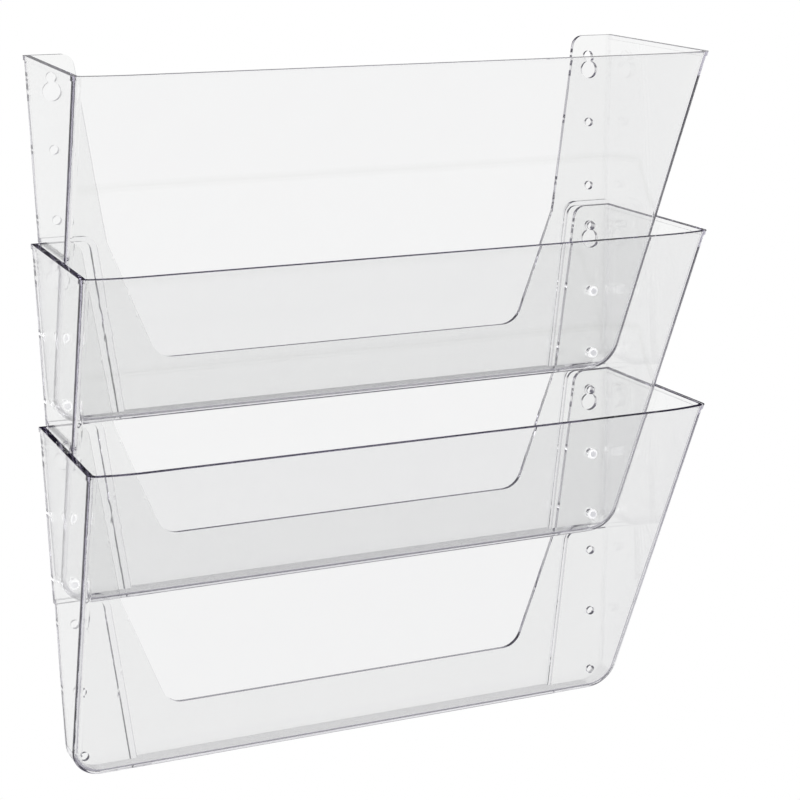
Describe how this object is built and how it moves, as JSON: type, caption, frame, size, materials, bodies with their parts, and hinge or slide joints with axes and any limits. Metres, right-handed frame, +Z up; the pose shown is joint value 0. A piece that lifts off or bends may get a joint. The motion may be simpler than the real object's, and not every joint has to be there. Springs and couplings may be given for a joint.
{
  "type": "wall file",
  "caption": "Staggered clear plastic pockets nested one below the other in a hanging wall file, with keyhole ears, a cut-away back and push rivets joining each level.",
  "frame": {"origin": "on the wall plane, midway between the narrow upper ends of the top pocket's two keyholes", "axes": "+X to the right as seen from the front, +Y into the wall, +Z up"},
  "size_m": [0.338, 0.1017, 0.3693],
  "materials": {
    "clear_polystyrene": "clear, glossy, water-white with a faint violet tint at its edges",
    "white_nylon": "white, satin"
  },
  "bodies": {
    "pockets": {"top_pocket": "clear_polystyrene", "middle_pocket": "clear_polystyrene", "bottom_pocket": "clear_polystyrene", "top_left_upper_rivet_sleeve": "white_nylon", "top_left_lower_rivet_sleeve": "white_nylon", "top_right_upper_rivet_sleeve": "white_nylon", "top_right_lower_rivet_sleeve": "white_nylon", "middle_left_upper_rivet_sleeve": "white_nylon", "middle_left_lower_rivet_sleeve": "white_nylon", "middle_right_upper_rivet_sleeve": "white_nylon", "middle_right_lower_rivet_sleeve": "white_nylon"},
    "top_left_upper_pin": {"top_left_upper_rivet_pin": "white_nylon"},
    "top_left_lower_pin": {"top_left_lower_rivet_pin": "white_nylon"},
    "top_right_upper_pin": {"top_right_upper_rivet_pin": "white_nylon"},
    "top_right_lower_pin": {"top_right_lower_rivet_pin": "white_nylon"},
    "middle_left_upper_pin": {"middle_left_upper_rivet_pin": "white_nylon"},
    "middle_left_lower_pin": {"middle_left_lower_rivet_pin": "white_nylon"},
    "middle_right_upper_pin": {"middle_right_upper_rivet_pin": "white_nylon"},
    "middle_right_lower_pin": {"middle_right_lower_rivet_pin": "white_nylon"}
  },
  "joints": [
    {"name": "top_left_upper_pin_pull", "type": "slide", "parent": "pockets", "child": "top_left_upper_pin", "axis": [0, -1, 0], "range_m": [0, 0.004]},
    {"name": "top_left_lower_pin_pull", "type": "slide", "parent": "pockets", "child": "top_left_lower_pin", "axis": [0, -1, 0], "range_m": [0, 0.004]},
    {"name": "top_right_upper_pin_pull", "type": "slide", "parent": "pockets", "child": "top_right_upper_pin", "axis": [0, -1, 0], "range_m": [0, 0.004]},
    {"name": "top_right_lower_pin_pull", "type": "slide", "parent": "pockets", "child": "top_right_lower_pin", "axis": [0, -1, 0], "range_m": [0, 0.004]},
    {"name": "middle_left_upper_pin_pull", "type": "slide", "parent": "pockets", "child": "middle_left_upper_pin", "axis": [0, -1, 0], "range_m": [0, 0.004]},
    {"name": "middle_left_lower_pin_pull", "type": "slide", "parent": "pockets", "child": "middle_left_lower_pin", "axis": [0, -1, 0], "range_m": [0, 0.004]},
    {"name": "middle_right_upper_pin_pull", "type": "slide", "parent": "pockets", "child": "middle_right_upper_pin", "axis": [0, -1, 0], "range_m": [0, 0.004]},
    {"name": "middle_right_lower_pin_pull", "type": "slide", "parent": "pockets", "child": "middle_right_lower_pin", "axis": [0, -1, 0], "range_m": [0, 0.004]}
  ]
}
